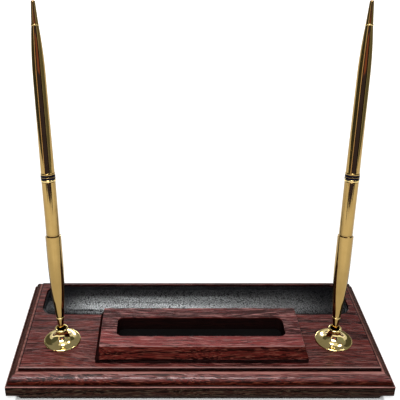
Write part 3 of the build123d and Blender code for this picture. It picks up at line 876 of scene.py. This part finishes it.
# Each piece's outline, the node that it stands for, its body, its material and its slot
PEN_PIECES = {
    "nose": (
        [(1.0, 4.0), (1.0, 3.05), (1.08, 3.0), (1.16, 3.06), (1.4, 5.4), (1.76, 8.8), (2.05, 11.6),
         (2.17, 12.8), (2.17, NOSE_END), (1.6, NOSE_END)],
        "nose_cone", "pen", gold, "gold",
    ),
    "nose_band": (bead(2.45, 1.9, NOSE_END, 1.0, 0.28), "nose_ring", "pen", bright_gold, "gold"),
    "grip": (
        [(1.9, GRIP_START)] + tangent_arc((4.55, 49.9), (0, -1), (2.35, GRIP_START), 48)[::-1]
        + [(4.55, 57.0), (4.55, 64.6), (4.5, 64.78), (4.38, 64.88), (4.2, GRIP_END), (3.5, GRIP_END)],
        "lower_barrel", "pen", gold, "gold",
    ),
    "sleeve": (
        [(3.3, GRIP_END), (3.6, GRIP_END), (3.6, 65.45), (3.82, 65.5), (3.9, 65.6), (3.93, 66.0),
         (3.97, 76.0), (4.01, 86.0), (4.05, 96.9), (4.0, SLEEVE_END), (3.0, SLEEVE_END)],
        "middle_sleeve", "pen", gold, "gold",
    ),
    "lip_band": (bead(4.25, 2.7, SLEEVE_END, 1.4, 0.45), "lip_ring", "pen", bright_gold, "gold"),
    "black_bands": (
        bead(4.2, 3.6, LIP_END, 1.1, 0.25) + bead(4.2, 3.6, HAIRLINE_END, 1.1, 0.25),
        "black_rings", "pen", enamel, "black_enamel",
    ),
    "hairline_band": (bead(4.22, 2.7, HAIRLINE_START, 0.3, 0.08), "hairline_ring", "pen", gold, "gold"),
    "upper_half": (
        [(2.7, TOP_START), (3.9, TOP_START), (4.08, 101.06), (4.15, 101.25), (4.15, 101.8), (4.08, 102.02),
         (3.96, 102.15), (3.94, 104.0), (3.88, 116.0), (3.82, 128.0), (3.76, 140.0)]
        + tangent_arc((3.68, 155.8), (-0.27, 51.4), (2.1, TOP_END), 36) + [(1.3, TOP_END)],
        "upper_barrel", "pen_top", gold, "gold",
    ),
    "tail_band": (bead(2.3, 1.3, TOP_END, 0.8, 0.25), "tail_ring", "pen_top", bright_gold, "gold"),
    "tail": (
        [(1.3, TAIL_START), (1.95, TAIL_START), (2.04, 183.7), (1.9, 185.6), (1.6, 189.5), (1.3, 193.4),
         (1.16, 195.2), (1.08, 195.55), (0.85, 195.8), (0.5, 195.88), (0, TAIL_END)],
        "tail_cap", "pen_top", gold, "gold",
    ),
}

for side, sign in (("left", -1), ("right", 1)):
    origin = (sign * PEN_POINT[0], PEN_POINT[1], PEN_POINT[2])
    slope = (sign * PEN_SLOPE[0], PEN_SLOPE[1], PEN_SLOPE[2])
    for name, (profile, node, body, material, slot) in PEN_PIECES.items():
        piece = lathe(
            f"{side}_{name}", profile, origin, slope, f"{side}_{body}", (f"{side}_pen_{node}",)
        )
        piece.data.materials.append(material)


# Floor, cards, lamps, world and camera, in metres

FLOOR_HALF, FLOOR_Z, FLOOR_GREY = 6, -0.0001, 0.52
FRONT_Y, NEAR_FRONT_Y = -1.10, -1.09
WALL_TOP = 0.95
CORNER_X = 0.62
MAT_X, MAT_Z = 0.113, 0.0005
ROOM_LIGHT, FADE_LOW, FADE_HIGH, SWEEP_LIGHT, OVERHEAD_LIGHT = 0.288, 0.30, 0.54, 0.80, 0.256


def stage_card(name, corners):
    """A flat card with four corners that belongs to the stage."""
    mesh = bpy.data.meshes.new(name)
    mesh.from_pydata(corners, [], [(0, 1, 2, 3)])
    piece = bpy.data.objects.new(name, mesh)
    bpy.context.scene.collection.objects.link(piece)
    return piece


def lying(near, far, z):
    """Corners of a card that lies level, from its near and its far pair of corners."""
    return [(x, y, z) for x, y in (*near, *far)]


def standing(foot, head, low, high):
    """Corners of a card that stands over the line from foot to head."""
    return [(*foot, low), (*head, low), (*head, high), (*foot, high)]


def seen_directly(look):
    """1 for the rays that show the background: straight to the camera, mirrored, or through glass."""
    path = look.add("ShaderNodeLightPath")
    seen = look.math("ADD", path.outputs["Is Camera Ray"], path.outputs["Is Glossy Ray"])
    return look.math("MINIMUM", look.math("ADD", seen, path.outputs["Is Transmission Ray"]), 1.0)


def make_floor():
    """A white table that keeps the object's shadow, with a glow that ends short of the object."""
    half = FLOOR_HALF
    near = (-half, -half), (half, -half)
    far = (half, half), (-half, half)
    floor = stage_card("floor", lying(near, far, FLOOR_Z))
    look = Look("white_table")
    paint = look.add("ShaderNodeBsdfDiffuse")
    paint.inputs["Color"].default_value = (FLOOR_GREY, FLOOR_GREY, FLOOR_GREY, 1)
    x, y = look.axis("X"), look.axis("Y")
    off = look.math("MAXIMUM", look.past_mm(x, PAD_HALF[0]), look.past_mm(y, PAD_HALF[1]))
    level = look.times(look.ramp(look.distance(x, y), 0.14, 0.70, 0.56, 0.95), look.ramp_mm(off, 0.6, 2.2))
    glow = look.add("ShaderNodeEmission")
    look.link(look.times(level, seen_directly(look)), glow.inputs["Strength"])
    both = look.add("ShaderNodeAddShader")
    look.link(paint.outputs[0], both.inputs[0])
    look.link(glow.outputs[0], both.inputs[1])
    floor.data.materials.append(look.show(both))


def flag(name, corners, level, tint):
    """A card on the stage that only mirrors show."""
    card = stage_card(name, corners)
    card.visible_camera = False
    card.visible_shadow = False
    card.visible_diffuse = False
    look = Look(name)
    glow = look.add("ShaderNodeEmission")
    glow.inputs["Color"].default_value = (*tint, 1.0)
    glow.inputs["Strength"].default_value = level
    card.data.materials.append(look.show(glow))


def area_light(name, place, target, size, power, shape="RECTANGLE", tint=(1.0, 1.0, 1.0)):
    light = bpy.data.lights.new(name, "AREA")
    light.shape = shape
    light.size, light.size_y = size
    light.energy = power
    light.color = tint
    lamp = bpy.data.objects.new(name, light)
    lamp.location = place
    lamp.rotation_euler = (Vector(target) - Vector(place)).to_track_quat("-Z", "Y").to_euler()
    bpy.context.scene.collection.objects.link(lamp)


def make_world():
    """White to the camera. Mirrors see a white sweep that fades overhead, all else gets an even light."""
    world = bpy.data.worlds.new("studio")
    bpy.context.scene.world = world
    world.use_nodes = True
    world.node_tree.nodes.clear()
    look = Nodes(world.node_tree)
    path = look.add("ShaderNodeLightPath")
    mirrored = look.math("MAXIMUM", path.outputs["Is Glossy Ray"], path.outputs["Is Transmission Ray"])
    sweep = look.ramp(look.axis("Z", "Generated"), FADE_LOW, FADE_HIGH, SWEEP_LIGHT, OVERHEAD_LIGHT)
    level = look.add("ShaderNodeMix", data_type="FLOAT")
    look.link(mirrored, level.inputs["Factor"])
    level.inputs["A"].default_value = ROOM_LIGHT
    look.link(sweep, level.inputs["B"])
    shown = look.add("ShaderNodeMix", data_type="FLOAT")
    look.link(path.outputs["Is Camera Ray"], shown.inputs["Factor"])
    look.link(level.outputs["Result"], shown.inputs["A"])
    shown.inputs["B"].default_value = 1.0
    back = look.add("ShaderNodeBackground")
    back.inputs["Color"].default_value = (1.0, 1.0, 1.0, 1.0)
    look.link(shown.outputs["Result"], back.inputs["Strength"])
    out = look.add("ShaderNodeOutputWorld")
    look.link(back.outputs[0], out.inputs["Surface"])


def make_cards():
    """What the polished metal mirrors: the room in front, and dark cards at both sides."""
    front = standing((-CORNER_X, FRONT_Y), (CORNER_X, FRONT_Y), 0.06, WALL_TOP)
    shelf = standing((-0.30, NEAR_FRONT_Y), (0.36, NEAR_FRONT_Y), 0.38, 0.66)
    slit = standing((-1.25, NEAR_FRONT_Y), (-0.85, NEAR_FRONT_Y), 0.04, WALL_TOP)
    flag("front_room", front, 0.09, (1.0, 0.86, 1.7))
    flag("front_shelf", shelf, 0.50, (1.0, 0.36, 0.30))
    flag("front_slit", slit, 1.5, (1.0, 0.78, 0.72))
    for name, sign, reach, level in (("left", -1, 0.52, 0.10), ("right", 1, 0.65, 0.30)):
        jamb = standing((sign * CORNER_X, FRONT_Y), (sign * 1.05, FRONT_Y), 0.0, WALL_TOP)
        room = standing((sign * 1.25, FRONT_Y), (sign * reach, 0.30), 0.02, 0.60)
        wing = standing((sign * 0.52, 0.30), (sign * 0.42, 0.90), 0.22, 0.75)
        near = (sign * MAT_X, -0.06), (sign * 0.155, -0.06)
        far = (sign * 0.20, 0.14), (sign * MAT_X, 0.14)
        mat = lying(near, far, MAT_Z)
        flag(f"{name}_jamb", jamb, 0.01, (1.0, 0.9, 0.8))
        flag(f"{name}_room", room, level, (0.9, 1.0, 0.9))
        flag(f"{name}_wing", wing, 0.08, (1.0, 1.0, 0.8))
        flag(f"{name}_mat", mat, 0.05, (1.0, 0.9, 0.7))


def make_lamps():
    area_light("key", (-0.30, -1.60, 1.90), (0, 0, 0.02), (1.6, 0.55), 50)
    area_light("ceiling", (0.05, -0.30, 1.50), (0, 0, 0.02), (1.2, 0.8), 2.2)
    area_light("bulb", (-0.06, -0.12, 1.48), (0, -0.02, 0.02), (0.38, 0.32), 3.4, "ELLIPSE")
    area_light("side_bulb", (0.72, 0.18, 1.38), (0, -0.02, 0.02), (0.38, 0.36), 3.4, "ELLIPSE")
    area_light("back", (-0.06, 1.10, 0.31), (0, 0.02, 0.02), (0.38, 0.24), 2.8, tint=(0.95, 0.985, 1.0))


def make_camera():
    camera = bpy.data.objects.new("camera", bpy.data.cameras.new("camera"))
    camera.data.sensor_width = 36
    camera.data.lens = 60.75
    camera.data.shift_x = 0.0862
    camera.data.shift_y = 0.001
    camera.data.clip_start = 0.01
    camera.location = (-0.01965, -0.34744, 0.27345)
    camera.rotation_euler = (radians(63.66), 0, 0)
    bpy.context.scene.collection.objects.link(camera)
    bpy.context.scene.camera = camera


make_floor()
make_world()
make_cards()
make_lamps()
make_camera()
bpy.context.scene.view_settings.view_transform = "Standard"
